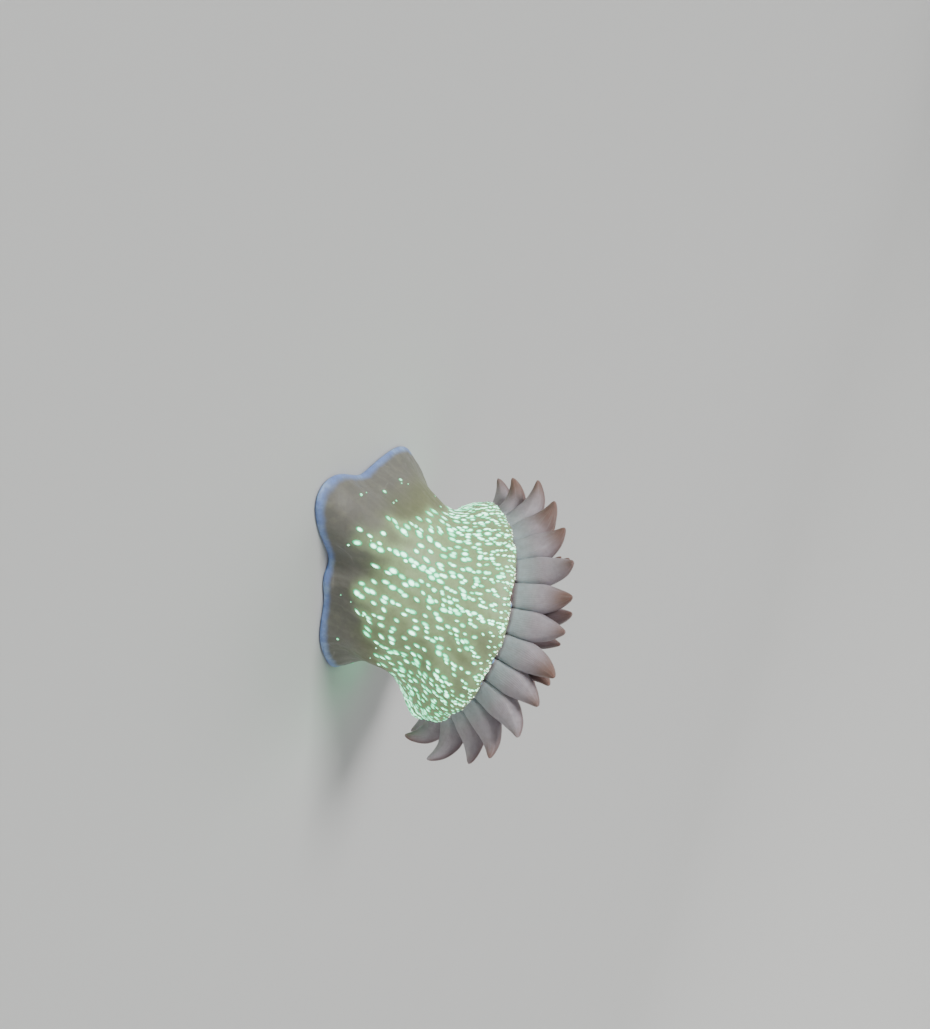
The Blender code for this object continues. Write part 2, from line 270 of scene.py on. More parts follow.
def spine(height):
    """(points, lean angles) of the spine at heights along it."""
    height = np.asarray(height, float)
    bend = LEAN / (LEAN_END - LEAN_START)
    lean = bend * (np.clip(height, LEAN_START, LEAN_END) - LEAN_START)
    past = np.maximum(height - LEAN_END, 0.0)
    x = SIDE_SHIFT * smooth(height, LEAN_START, LEAN_END)
    y = (1.0 - np.cos(lean)) / bend + past * np.sin(lean)
    z = np.minimum(height, LEAN_START) + np.sin(lean) / bend + past * np.cos(lean)
    return np.stack([x, y, z], -1), lean


def posed(points):
    """Points of the upright column in their places on the leaning one."""
    centre, lean = spine(points[..., 2])
    across = np.stack([np.zeros_like(lean), np.cos(lean), -np.sin(lean)], -1)
    out = centre + points[..., 1:2] * across
    out[..., 0] += points[..., 0]
    return out


def crowned(points):
    """Points of the upright crown in place: it leans as one, however low its tentacles hang."""
    base, lean = spine(LEAN_END)
    s, c = math.sin(lean), math.cos(lean)
    y, z = points[..., 1], points[..., 2] - LEAN_END
    return np.stack([base[0] + points[..., 0], base[1] + y * c + z * s, base[2] - y * s + z * c], -1)


def column_radius(height):
    flare = np.sin(0.5 * math.pi * np.minimum(height / WAIST_HEIGHT, 1.0))
    low = FOOT_RADIUS + (WAIST_RADIUS - FOOT_RADIUS) * flare
    rise = np.clip((height - WAIST_HEIGHT) / (COLLAR_HEIGHT - WAIST_HEIGHT), 0.0, 1.0)
    return low + (COLLAR_RADIUS - WAIST_RADIUS) * 0.5 * (1.0 - np.cos(math.pi * rise))


def bump(degrees, middle, width):
    """1 at the middle, falling to 0 a width away on either side, all in degrees."""
    away = np.abs((degrees - middle + 180.0) % 360.0 - 180.0)
    return smooth(1.0 - away / width, 0.0, 1.0)


def foot_spread(azimuth, height):
    """How far the foot's outline stands out from the round one."""
    reach = WAVE_REACH * np.sin(WAVE_COUNT * azimuth)
    for size, middle, width in FOOT_REACHES:
        reach = reach + size * bump(np.degrees(azimuth), middle, width)
    return reach * smooth(1.0 - height / SPREAD_HEIGHT, 0.0, 1.0)


def side_point(azimuth, height):
    """Points on the column's outer side, in place."""
    radius = column_radius(height)
    radius = radius + foot_spread(azimuth, height) * radius / FOOT_RADIUS
    return posed(np.stack([radius * np.cos(azimuth), radius * np.sin(azimuth), height], -1))


def dome(radius):
    """The disc's height on its domed part, and the elevation in degrees of its outward direction."""
    outward = max(radius - DOME_INNER, 0.0) / DOME_REACH
    rise = math.sqrt(1.0 - outward * outward)
    return DOME_BASE + DOME_RISE * rise, math.degrees(math.atan2(rise / DOME_RISE, outward / DOME_REACH))


def dish_height(radius):
    """Height of the disc's dished middle, with the low cone that carries the lips."""
    dish = 0.5 * (1.0 + math.cos(math.pi * radius / DOME_INNER)) * DISH_DEPTH
    return DOME_BASE + DOME_RISE - dish + CONE_RISE * smooth(1.0 - radius / CONE_RADIUS, 0.0, 1.0)


def tentacle_share(along):
    """Radius at a share of a tentacle's length, as a share of its widest."""
    if along < WIDEST_AT:
        return ROOT_SHARE + (1.0 - ROOT_SHARE) * smooth(along, 0.0, WIDEST_AT)
    taper = min((along - WIDEST_AT) / (1.0 - WIDEST_AT), 1.0)
    return 1.0 - (1.0 - TIP_SHARE) * taper**1.5


def tentacle_frames(root_elevation, curl, sway, size):
    """(point, outward, sideways) at a tentacle's rings and at its end, with X away from the axis."""
    marks = [round(share * CURL_STEPS) for share in (*TENTACLE_RINGS, TENTACLE_END)]
    point = np.zeros(3)
    frames = []
    for i in range(marks[-1] + 1):
        along = i / CURL_STEPS
        elevation = math.radians(root_elevation - curl * along)
        heading = math.radians(sway * along)
        level = math.cos(elevation)
        forward = np.array([level * math.cos(heading), level * math.sin(heading), math.sin(elevation)])
        sideways = np.array([-math.sin(heading), math.cos(heading), 0.0])
        if i in marks:
            frames.append((point, np.cross(sideways, forward), sideways))
        point = point + forward * size / CURL_STEPS
    return frames


def droop(degrees):
    """Extra curl of the tentacles at an azimuth round the crown."""
    more = sum(reach * math.cos(math.radians(peaks * (degrees - peak))) for reach, peak, peaks in DROOP)
    return more + sum(reach * bump(degrees, middle, width) for reach, middle, width in SAG)


def tentacles():
    """Each tentacle's ring, number in it, azimuth, ring radius, length, widest radius, curl and sway."""
    for ring, (count, first, ring_radius, size, radius, curl, share) in enumerate(RINGS):
        for i in range(count):
            degrees = first + 360.0 * i / count
            longer = LONGER[0] * math.cos(math.radians(degrees - LONGER[1]))
            reach = size * (1.0 + longer + LENGTH_JITTER * spread(i, ring))
            bend = curl + share * droop(degrees) + CURL_JITTER * spread(i, ring + 3)
            yield ring, i, degrees, ring_radius, reach, radius, bend, SWAY_JITTER * spread(i, ring + 6)


# ---- The skin ----


class Cage:
    """The skin's control cage: rows of points round the axis, with tentacles drawn out of the disc."""

    def __init__(self):
        self.points = []
        # Cosine and sine of the azimuth (on a tentacle, of the way round it), and the height.
        self.around = []
        # Share along a tentacle, how far on the disc (more on inner rings), how far into the mouth.
        self.part = []
        self.lot = []  # each tentacle's own number, higher where its tip is browner
        self.faces = []
        self.rows = []

    def add(self, points, around, part, lot=0.5):
        first = len(self.points)
        self.points.extend(points)
        self.around.extend(around)
        self.part.extend([part] * len(points))
        self.lot.extend([lot] * len(points))
        return list(range(first, first + len(points)))

    def row(
        self, half_x, half_y, height, place=posed, azimuth=SECTOR_AZIMUTH, level=None, disc=0.0, mouth=0.0
    ):
        """A closed row of points round the axis. Level is the height that it carries, if not its own."""
        upright = [half_x * np.cos(azimuth), half_y * np.sin(azimuth), np.full(SECTORS, height)]
        around = [(math.cos(a), math.sin(a), height if level is None else level) for a in azimuth]
        self.rows.append(self.add(place(np.stack(upright, -1)), around, (0.0, disc, mouth)))

    def strip(self, row, skip):
        """Faces between a row and the next, leaving out the cells that bear tentacles."""
        lower, upper = self.rows[row : row + 2]
        for i in range(SECTORS):
            j = (i + 1) % SECTORS
            if (row, i) not in skip:
                self.faces.append((lower[i], lower[j], upper[j], upper[i]))


def lay_column(cage):
    """The sole, the foot's edge and the column's side up to the collar."""
    sole = [(FOOT_RADIUS * share, 0.0) for share in SOLE_ROWS] + [(FOOT_RADIUS - SOLE_EDGE, 0.0)]
    for radius, height in sole + [(column_radius(h), h) for h in COLUMN_ROWS]:
        outline = radius + foot_spread(SECTOR_AZIMUTH, height) * radius / FOOT_RADIUS
        cage.row(outline, outline, height)


def lay_collar(cage):
    """The rounded rim and the narrow groove inside it."""
    middle, bend = COLLAR_RADIUS - RIM_RADIUS, RIM_ROUND * RIM_RADIUS
    angles = map(math.radians, RIM_ANGLES)
    rim = [(middle + bend * math.cos(a), COLLAR_HEIGHT + bend * math.sin(a)) for a in angles]
    for (radius, height), disc in zip((*rim, *GROOVE_ROWS), RIM_TO_DISC):
        cage.row(radius, radius, height, crowned, disc=disc)


def lay_disc(cage):
    """The domed disc, its dished middle, the lips and the throat."""
    aside = np.tile((0.0, 1.0, 0.0, -1.0), SECTORS // 4)
    middle_ring, inner_ring = RINGS[1][2], RINGS[2][2]
    for radius in TENTACLE_ROWS:
        # The inner tentacles stand on every fourth line.
        widen = smooth(middle_ring - radius, 0.0, middle_ring - inner_ring) * WIDE_CELL
        turned = SECTOR_AZIMUTH + aside * widen
        cage.row(radius, radius, dome(radius)[0], crowned, turned, ON_CROWN, disc=1.0)
    dish = [(radius, radius, dish_height(radius), 0.0) for radius in DISH_ROWS]
    for half_length, half_width, height, mouth in (*dish, *MOUTH_ROWS):
        cage.row(half_length, half_width, height, crowned, level=ON_CROWN, disc=1.0, mouth=mouth)


def draw_out(cage, loop, tentacle):
    """A tentacle drawn out of the eight points round two by two cells of the disc."""
    ring, index, degrees, ring_radius, size, radius, curl, sway = tentacle
    height, slope = dome(ring_radius)
    a, s = math.radians(degrees), math.radians(slope)
    axes = np.array([[math.cos(a), math.sin(a), 0.0], [-math.sin(a), math.cos(a), 0.0], [0.0, 0.0, 1.0]])
    root = np.array([ring_radius + ROOT_LIFT * math.cos(s), 0.0, height + ROOT_LIFT * math.sin(s)])
    lot = 0.4 + 0.3 * spread(index, ring + 9) + 0.3 * math.cos(math.radians(degrees - BROWNER_SIDE))
    frames = tentacle_frames(slope, curl, sway, size)
    thetas = [math.radians(45.0 * m) for m in range(8)]
    around = [(math.cos(t), math.sin(t), ON_CROWN) for t in thetas]
    below = loop
    for along, (point, outward, sideways) in zip(TENTACLE_RINGS, frames):
        # Narrower than the solid towards the tip, and wider between the root and the middle.
        r = radius * tentacle_share(along) * CAGE_ROUND * (1.0 - 0.3 * smooth(along, 0.75, 1.0))
        wide = r * (1.0 + 0.08 * (smooth(along, 0.0, 0.2) * (1.0 - smooth(along, 0.5, 0.8))))
        square = 1.0
        if ring == 0:
            # The outer tentacles' roots touch one another as one pleated fan with a broad, flat side.
            touch = (root[0] + point[0]) * math.tan(math.pi / RINGS[0][0]) * FAN
            wide += max(touch - wide, 0.0) * (1.0 - smooth(along, 0.2, 0.62))
            square += 0.3 * (1.0 - smooth(along, 0.25, 0.75))
        corner = [square if m in (1, 7) else 1.0 for m in range(8)]
        points = [
            (root + point + k * (r * math.cos(t) * outward + wide * math.sin(t) * sideways)) @ axes
            for k, t in zip(corner, thetas)
        ]
        above = cage.add(crowned(np.array(points)), around, (along, 1.0 + ring, 0.0), lot)
        cage.faces += [(below[m], below[m - 7], above[m - 7], above[m]) for m in range(8)]
        below = above
    tip = crowned(np.array([(root + frames[-1][0]) @ axes]))
    end = cage.add(tip, [(1.0, 0.0, ON_CROWN)], (1.0, 1.0 + ring, 0.0), lot)[0]
    cage.faces += [(below[m], below[m + 1], below[(m + 2) % 8], end) for m in (0, 2, 4, 6)]


def skin_cage():
    """The whole cage, closed at the sole and at the bottom of the throat."""
    cage = Cage()
    lay_column(cage)
    lay_collar(cage)
    first = len(cage.rows)
    lay_disc(cage)
    skip = set()
    for tentacle in tentacles():
        ring, degrees = tentacle[0], tentacle[2]
        row = first + 2 * ring
        i = round(degrees * SECTORS / 360.0) % SECTORS
        before, after = (i - 1) % SECTORS, (i + 1) % SECTORS
        outer, middle, inner = cage.rows[row : row + 3]
        ahead = [outer[i], outer[after], middle[after], inner[after]]
        draw_out(cage, ahead + [inner[i], inner[before], middle[before], outer[before]], tentacle)
        skip |= {(row, before), (row, i), (row + 1, before), (row + 1, i)}
    for row in range(len(cage.rows) - 1):
        cage.strip(row, skip)
    cage.faces.append(tuple(reversed(cage.rows[0])))
    cage.faces.append(tuple(cage.rows[-1]))
    return cage


def lumps(points, size, seed):
    """Smooth noise from about -1 to 1, with lumps of about a size."""
    rng = np.random.default_rng(seed)
    total = np.zeros(len(points))
    for _ in range(8):
        way = rng.normal(size=3)
        way *= TURN / size * rng.uniform(0.7, 1.35) / np.linalg.norm(way)
        total += np.sin(points @ way + rng.uniform(0.0, TURN))
    return total / 3.4


def attribute(mesh, name, values):
    """Keeps a number or a vector for each point."""
    values = np.asarray(values, np.float32)
    kind, key = ("FLOAT", "value") if values.ndim == 1 else ("FLOAT_VECTOR", "vector")
    kept = mesh.attributes.get(name) or mesh.attributes.new(name, kind, "POINT")
    kept.data.foreach_set(key, values.ravel())


def read(items, key, width):
    """An array with a number, or a row of numbers, for each item of a mesh."""
    values = np.empty(len(items) * width, np.float32)
    items.foreach_get(key, values)
    return values.reshape(-1, width).squeeze().astype(float)


def new_mesh(name, points, faces):
    mesh = bpy.data.meshes.new(name)
    mesh.from_pydata(points, [], faces)
    return mesh


def new_object(name, mesh):
    obj = bpy.data.objects.new(name, mesh)
    bpy.context.scene.collection.objects.link(obj)
    return obj


def make_plain(obj):
    """Gives an object its evaluated result as a mesh of its own, and removes the modifiers."""
    graph = bpy.context.evaluated_depsgraph_get()
    mesh = bpy.data.meshes.new_from_object(obj.evaluated_get(graph))
    old = obj.data
    obj.modifiers.clear()
    obj.data = mesh
    mesh.name = obj.name
    bpy.data.meshes.remove(old)


def work_relief(mesh, settings):
    """Moves the skin's points along their normals: soft lumps, furrows, folds and radial grooves."""
    points, normals = read(mesh.vertices, "co", 3) / MM, read(mesh.vertex_normals, "vector", 3)
    cosine, sine, height = read(mesh.attributes["around"].data, "vector", 3).T
    along, disc, mouth = read(mesh.attributes["part"].data, "vector", 3).T
    azimuth = np.arctan2(sine, cosine)
    disc = np.minimum(disc, 1.0)
    side = smooth(height, 0.6, 2.6) * (1.0 - smooth(disc, 0.0, 0.3))
    low = 1.0 - smooth(height, 2.0, 7.0)
    wobble = lumps(points, 9.0, 4)
    lift = side * settings.lump_depth / MM * lumps(points, 10.0, 1)
    furrows = side * settings.furrow_depth / MM * np.sin(FURROWS * azimuth + 1.4 * wobble)
    lift += furrows * smooth(height, 3.0, 8.0)
    furrows = side * low * 0.16 * np.sin(LOW_FURROWS * azimuth + 2.5 * wobble)
    lift += furrows * (0.6 + 0.4 * lumps(points, 6.0, 8))
    # Folds where the column is pressed together, on the side that it leans to.
    pressed = smooth(np.sin(azimuth), 0.1, 0.9) * smooth(height, 2.5, 6.0)
    pressed *= 1.0 - smooth(height, 15.0, 19.0)
    folds = np.sin(TURN * height / FOLD_PITCH + 1.2 * wobble + 1.5 * np.cos(3.0 * azimuth))
    lift += side * pressed * settings.fold_depth / MM * folds
    # Low lumps on the side away from the lean, just above the foot.
    away = smooth(-np.sin(azimuth), 0.2, 0.9) * smooth(height, 2.0, 4.0) * (1.0 - smooth(height, 6.0, 11.0))
    lift += side * away * 0.09 * lumps(points * (1.0, 1.0, 2.6), 4.0, 17)
    lift += side * smooth(height, 19.0, 21.5) * 0.1 * np.sin(COLLAR_RIBS * azimuth + wobble)
    flat = disc * (1.0 - smooth(along, 0.0, 0.1)) * (1.0 - smooth(mouth, 0.1, 0.5))
    lift += flat * smooth(height, 22.9, 29.0) * 0.14 * np.cos(DISC_RIBS * azimuth)
    lips = smooth(mouth, 0.5, 0.9) * smooth(points[:, 2], 20.0, 21.0)
    lift += lips * 0.13 * np.cos(LIP_RIBS * azimuth)
    arms = smooth(along, 0.04, 0.2)
    lift += arms * (0.09 * lumps(points, 4.5, 23) * (1.0 - 0.7 * along) + 0.03 * np.cos(8.0 * azimuth))
    points += normals * lift[:, None]
    points[:, 2] = np.maximum(points[:, 2], 0.0)
    mesh.vertices.foreach_set("co", (points * MM).astype(np.float32).ravel())
    mesh.update()


def finish_piece(piece):
    """Shades a finished piece smoothly and lets it ride on the one body."""
    piece.data.shade_smooth()
    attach(piece, "root")


# ---- Materials ----

# Shades beside the colours that a user sets.
PALE_RIB = tint(196, 200, 182)
DARK_CLOUD = tint(92, 98, 80)
PALE_PATCH = tint(166, 170, 140)
PALE_CREASE = tint(196, 196, 188)
PALE_LIMBUS = tint(160, 190, 228)
PALE_RAY = tint(168, 144, 146)
DARK_DISC = tint(86, 60, 60)
PALE_STREAK = tint(186, 182, 186)
DARK_GRAIN = tint(96, 92, 84)
# Deeper green of a spot: random tone, and painted shade on the side away from the key light.
DEEP_MINT = tint(0, 160, 100)
# Colour of the painted glow at a spot's edge.
MINT_RING = tint(14, 84, 54)
PALE_BEAD = tint(186, 214, 240)
FLOOR_SHADE = tint(190, 190, 188)


class Wire:
    """A node's output. An expression on wires and numbers adds Math nodes."""

    def __init__(self, nodes, socket):
        self.nodes, self.socket = nodes, socket

    def __add__(self, other):
        return self.nodes.maths("ADD", self, other)

    def __sub__(self, other):
        return self.nodes.maths("SUBTRACT", self, other)

    def __rsub__(self, other):
        return self.nodes.maths("SUBTRACT", other, self)

    def __mul__(self, other):
        return self.nodes.maths("MULTIPLY", self, other)

    __radd__ = __add__
    __rmul__ = __mul__


class Outputs:
    """A node's outputs as wires. A name finds the socket that the settings left in use."""

    def __init__(self, nodes, made):
        self.nodes, self.made = nodes, made

    def __getitem__(self, name):
        return Wire(self.nodes, self.made.outputs[name])


class Nodes:
    """Builds a node tree, of a material or of Geometry Nodes. One method makes every node."""

    def __init__(self, tree):
        self.tree = tree

    def feed(self, node, inputs):
        for key, value in inputs.items():
            socket = node.inputs[key]
            if isinstance(value, Wire):
                self.tree.links.new(value.socket, socket)
            elif socket.type == "RGBA":
                socket.default_value = (*value, 1.0)
            else:
                socket.default_value = value

    def node(self, kind, inputs=None, **settings):
        """A new node, with its settings made before its sockets are fed."""
        made = self.tree.nodes.new(kind)
        for key, value in settings.items():
            setattr(made, key, value)
        self.feed(made, inputs or {})
        return Outputs(self, made)

    def maths(self, operation, *values):
        return self.node("ShaderNodeMath", dict(enumerate(values)), operation=operation)["Value"]

    def parts(self, vector):
        made = self.node("ShaderNodeSeparateXYZ", {"Vector": vector})
        return [made[axis] for axis in "XYZ"]


class Shade(Nodes):
    """One material's nodes, round its Principled shader."""

    def __init__(self, name, **constants):
        self.material = bpy.data.materials.new(name)
        self.material.use_nodes = True
        super().__init__(self.material.node_tree)
        self.shader = self.tree.nodes["Principled BSDF"]
        self.place = self.node("ShaderNodeTexCoord")["Object"]
        self.surface(Metallic=0.0, **constants)

    def surface(self, **inputs):
        self.feed(self.shader, {key.replace("_", " "): value for key, value in inputs.items()})

    def step(self, value, low, high, most=1.0):
        """0 at low to most at high, smoothly."""
        values = {"Value": value, "From Min": low, "From Max": high, "To Max": most}
        return self.node("ShaderNodeMapRange", values, interpolation_type="SMOOTHSTEP")["Result"]

    def mix(self, factor, a, b):
        return self.node("ShaderNodeMix", {"Factor": factor, "A": a, "B": b}, data_type="RGBA")["Result"]

    def over(self, base, *layers):
        """The base under layers of (colour, value, low, high, most), each full where its value is high."""
        for top, *span in layers:
            base = self.mix(self.step(*span), base, top)
        return base

    def noise(self, scale, detail=3.0, roughness=0.55, vector=None):
        values = {"Scale": scale, "Detail": detail, "Roughness": roughness, "Vector": vector or self.place}
        return self.node("ShaderNodeTexNoise", values)["Fac"]

    def attribute(self, name, output="Fac"):
        return self.node("ShaderNodeAttribute", attribute_name=name)[output]

    def bump(self, height, strength, distance):
        made = self.node("ShaderNodeBump", {"Height": height, "Strength": strength, "Distance": distance})
        self.surface(Normal=made["Normal"])


def skin_material(settings):
    """Moist flesh in one graded skin: blue foot line, olive column, mauve disc and grey tentacles."""
    shade = Shade("moist_skin", IOR=1.38, Subsurface_Weight=0.4, Subsurface_Scale=0.0022)
    shade.surface(Subsurface_Radius=(1.0, 0.8, 0.65))
    cosine, sine, height = shade.parts(shade.attribute("around", "Vector"))
    along, disc, mouth = shade.parts(shade.attribute("part", "Vector"))
    lot = shade.attribute("lot")
    azimuth = shade.maths("ARCTAN2", sine, cosine)
    cloud = shade.noise(130.0, 4.0)
    grain = shade.noise(1100.0, 4.0, 0.65)
    wobble = shade.noise(240.0, 2.0)
    patch = shade.noise(420.0)

    # The column: grey low down, olive above, edged at the collar and given painted glow where spots lie
    # near.
    low = 1.0 - shade.step(height + cloud * 5.0, 6.5, 12.5)
    ribs = shade.maths("SINE", azimuth * FURROWS + wobble * 5.0)
    column = shade.over(
        shade.mix(low, settings.olive, settings.foot_grey),
        (settings.rim, height, 17.5, 22.5, 0.75),
        # Painted glow of the spots on the flesh round them.
        (settings.lit, shade.attribute("halo"), 0.0, 0.42, 0.86),
        (PALE_RIB, ribs, 0.3, 1.0, 0.04),
        (DARK_CLOUD, cloud, 0.45, 0.7, 0.22),
        (PALE_PATCH, patch, 0.5, 0.75, 0.16),
    )
    crease = shade.maths("ABSOLUTE", shade.noise(95.0, 1.0) - 0.5)
    crease = 1.0 - shade.step(crease, 0.0, 0.02)
    crease = crease * shade.step(shade.noise(330.0, 2.0), 0.5, 0.62)
    column = shade.mix(crease * low * 0.14, column, PALE_CREASE)
    line = settings.limbus_height / MM
    limbus = 1.0 - shade.step(height + wobble * 0.9, line - 0.2, line + 1.0)
    column = shade.mix(limbus, column, shade.over(settings.limbus, (PALE_LIMBUS, patch, 0.4, 0.8)))

    # The disc with its rays, and the lips.
    rays = shade.maths("COSINE", azimuth * DISC_RAYS)
    flesh = shade.over(
        settings.disc,
        (PALE_RAY, rays, 0.5, 1.0, 0.35),
        (DARK_DISC, cloud, 0.4, 0.7, 0.4),
        (settings.mouth, mouth, 0.1, 0.8),
    )

    # A tentacle is pale on its outer side, where cosine is 1, and redder towards the mouth, as are the
    # inner rings:
    # partly the flesh's colour and partly painted shade, which darkens the gaps between tentacles.
    inner = 1.0 - shade.step(cosine + (1.0 - shade.step(along, 0.25, 0.7)) * 0.7, -0.75, 0.35)
    turned = {"X": cosine * 2.2, "Y": sine * 2.2, "Z": along * 1.5 + lot * 9.0}
    streak = shade.noise(2.2, vector=shade.node("ShaderNodeCombineXYZ", turned)["Vector"])
    arm = shade.over(settings.root, (settings.tentacle, along, 0.1, 0.55))
    arm = shade.over(
        shade.mix(inner * 0.75, arm, settings.inner),
        (settings.inner, disc, 1.1, 1.8, 0.55),
        (settings.tip, along + lot * 0.5, 0.85, 1.3),
        (PALE_STREAK, streak, 0.5, 0.75, 0.25),
    )
    flesh = shade.over(flesh, (arm, along, 0.0, 0.08))

    base = shade.over(column, (flesh, disc, 0.1, 0.9), (DARK_GRAIN, grain, 0.35, 0.75, 0.2))
    shade.surface(Base_Color=base, Roughness=0.3 + grain * 0.25)
    wrinkle = shade.noise(620.0, 5.0, 0.6)
    shade.bump(wrinkle + grain * 0.4 + ribs * 0.1, 0.6, 0.00018)
    return shade.material


def spot_material(settings):
    """Mint spots with a painted glow, near white in the middle and green at the edge."""
    shade = Shade("mint_spot", Roughness=0.35, Coat_Weight=0.3, Coat_Roughness=0.2)
    # The emission is painted glow: the spots, and the rim's specks too, give light though they are no lamp.
    shade.surface(Emission_Strength=settings.glow)
    lift, tone, warm = map(shade.attribute, ("lift", "tone", "warm"))
    grain = shade.noise(1500.0, 2.0)
    core = shade.step(lift * lift + grain * 0.15, 0.1, 0.95)
    # A higher value gives a deeper green with a smaller pale middle: random tone, and painted shade on the
    # side away from the light.
    mint = shade.mix(core * (1.0 - tone * 0.6), settings.edge, settings.core)
    mint = shade.mix(tone * 0.4, mint, DEEP_MINT)
    pale = shade.mix(warm, mint, settings.warm)
    shade.surface(Base_Color=pale, Emission_Color=shade.mix(core * core * core, MINT_RING, pale))
    return shade.material


def bead_material(settings):
    """Sky-blue beads, mottled paler."""
    shade = Shade("blue_bead", Coat_Weight=0.5, Coat_Roughness=0.15)
    shade.surface(Subsurface_Weight=0.2, Subsurface_Scale=0.001)
    grain = shade.noise(1400.0)
    blue = shade.over(settings.blue, (PALE_BEAD, grain, 0.4, 0.75))
    shade.surface(Base_Color=blue, Roughness=0.25 + grain * 0.15)
    shade.bump(grain, 0.4, 0.0001)
    return shade.material


def stage_material(settings):
    shade = Shade("pale_stage")
    grain = shade.noise(30.0)
    base = shade.mix(grain * 0.06, settings.floor, FLOOR_SHADE)
    shade.surface(Base_Color=base, Roughness=0.82 + grain * 0.1)
    return shade.material


# ---- Geometry Nodes ----


class Tree(Nodes):
    """One Geometry Nodes tree, with named inputs."""

    def __init__(self, name):
        super().__init__(bpy.data.node_groups.new(name, "GeometryNodeTree"))
        for way in ("INPUT", "OUTPUT"):
            self.tree.interface.new_socket(name="Geometry", in_out=way, socket_type="NodeSocketGeometry")
        self.begin = self.node("NodeGroupInput")
        self.values = {}

    def input(self, name, kind, value):
        made = self.tree.interface.new_socket(name=name, in_out="INPUT", socket_type="NodeSocket" + kind)
        self.values[made.identifier] = value
        return self.begin[name]

    def instances(self, points, instance, **inputs):
        values = {"Points": points, "Instance": instance, **inputs}
        return self.node("GeometryNodeInstanceOnPoints", values)["Instances"]

    def realized(self, geometry):
        return self.node("GeometryNodeRealizeInstances", {"Geometry": geometry})["Geometry"]

    def named(self, name, kind="FLOAT_VECTOR"):
        return self.node("GeometryNodeInputNamedAttribute", {"Name": name}, data_type=kind)["Attribute"]

    def finish(self, geometry, material):
        """Realizes the instances, sets the material and gives the result."""
        values = {"Geometry": self.realized(geometry), "Material": material}
        self.node("NodeGroupOutput", {"Geometry": self.node("GeometryNodeSetMaterial", values)["Geometry"]})

    def apply(self, obj):
        """Runs the tree on an object and leaves a plain mesh."""
        modifier = obj.modifiers.new("Nodes", "NODES")
        modifier.node_group = self.tree
        for identifier, value in self.values.items():
            modifier[identifier] = value
        obj.update_tag()
        make_plain(obj)


def low_ball(tree):
    """A ball of a few dozen faces that keeps each point's own height as the attribute lift."""
    ball = tree.node("GeometryNodeMeshUVSphere", {"Segments": 10, "Rings": 5, "Radius": 1.0})["Mesh"]
    height = tree.parts(tree.node("GeometryNodeInputPosition")["Position"])[2]
    values = {"Geometry": ball, "Name": "lift", "Value": height}
    return tree.node("GeometryNodeStoreNamedAttribute", values, data_type="FLOAT")["Geometry"]


def spot_tree(settings, skin, material):
    """Lays a low lens on the skin at each point, longer along the column and bent to the skin."""
    tree = Tree("spots_on_skin")
    height = tree.input("Spot Height", "Float", settings.height)
    target = tree.input("Skin", "Object", skin)
    turn = tree.node("FunctionNodeEulerToRotation", {"Euler": tree.named("turn")})["Rotation"]
    laid = tree.instances(tree.begin["Geometry"], low_ball(tree), Rotation=turn, Scale=tree.named("size"))
    flesh = tree.node("GeometryNodeObjectInfo", {"Object": target}, transform_space="ORIGINAL")["Geometry"]
    at = tree.node("GeometryNodeInputPosition")["Position"]

    def on_skin(field):
        """A field of the skin, taken where the skin is nearest to each point."""
        values = {"Mesh": flesh, "Value": field, "Sample Position": at}
        return tree.node("GeometryNodeSampleNearestSurface", values, data_type="FLOAT_VECTOR")["Value"]

    outward = on_skin(tree.node("GeometryNodeInputNormal")["Normal"])
    rise = {"Vector": outward, "Scale": tree.named("lift", "FLOAT") * height}
    offset = tree.node("ShaderNodeVectorMath", rise, operation="SCALE")["Vector"]
    values = {"Geometry": tree.realized(laid), "Position": on_skin(at), "Offset": offset}
    tree.finish(tree.node("GeometryNodeSetPosition", values)["Geometry"], material)
    return tree


def bead_tree(settings, material):
    """A ring of round beads of slightly unlike sizes on the collar's inner side."""
    tree = Tree("beads_in_ring")
    count = tree.input("Count", "Int", settings.count)
    radius = tree.input("Bead Radius", "Float", settings.radius)
    ring = tree.input("Ring Radius", "Float", settings.ring)
    seed = tree.input("Seed", "Int", settings.seed)
    circle = tree.node("GeometryNodeMeshCircle", {"Vertices": count, "Radius": ring})["Mesh"]
    ball = tree.node("GeometryNodeMeshUVSphere", {"Segments": 20, "Rings": 12, "Radius": radius})["Mesh"]
    vary = {"Min": 0.82, "Max": 1.12, "Seed": seed}
    size = tree.node("FunctionNodeRandomValue", vary, data_type="FLOAT")["Value"]
    laid = tree.instances(circle, ball, Scale=size)
    centre = tuple(crowned(np.array([0.0, 0.0, BEAD_HEIGHT])) * MM)
    values = {"Geometry": laid, "Translation": centre, "Rotation": (-LEAN, 0.0, 0.0)}
    tree.finish(tree.node("GeometryNodeTransform", values)["Geometry"], material)
    return tree


# ---- Spots ----


def spot_start(azimuth):
    """The height where the spots begin: low on the side away from the lean, high on the others."""
    return np.minimum(LOWEST_START + START_CLIMB * (1.0 - np.cos(azimuth - LOW_SIDE)), HIGHEST_START)


class Scatter:
    """Points at least a gap apart on the unrolled column. A gap is at most a cell wide."""

    def __init__(self, cell):
        self.cell = cell
        self.cells = {}

    def fits(self, place, gap):
        column, row = (int(along // self.cell) for along in place)
        near = [(i, j) for i in range(column - 1, column + 2) for j in range(row - 1, row + 2)]
        if any(math.dist(other, place) < gap for cell in near for other in self.cells.get(cell, ())):
            return False
        self.cells.setdefault((column, row), []).append(place)
        return True


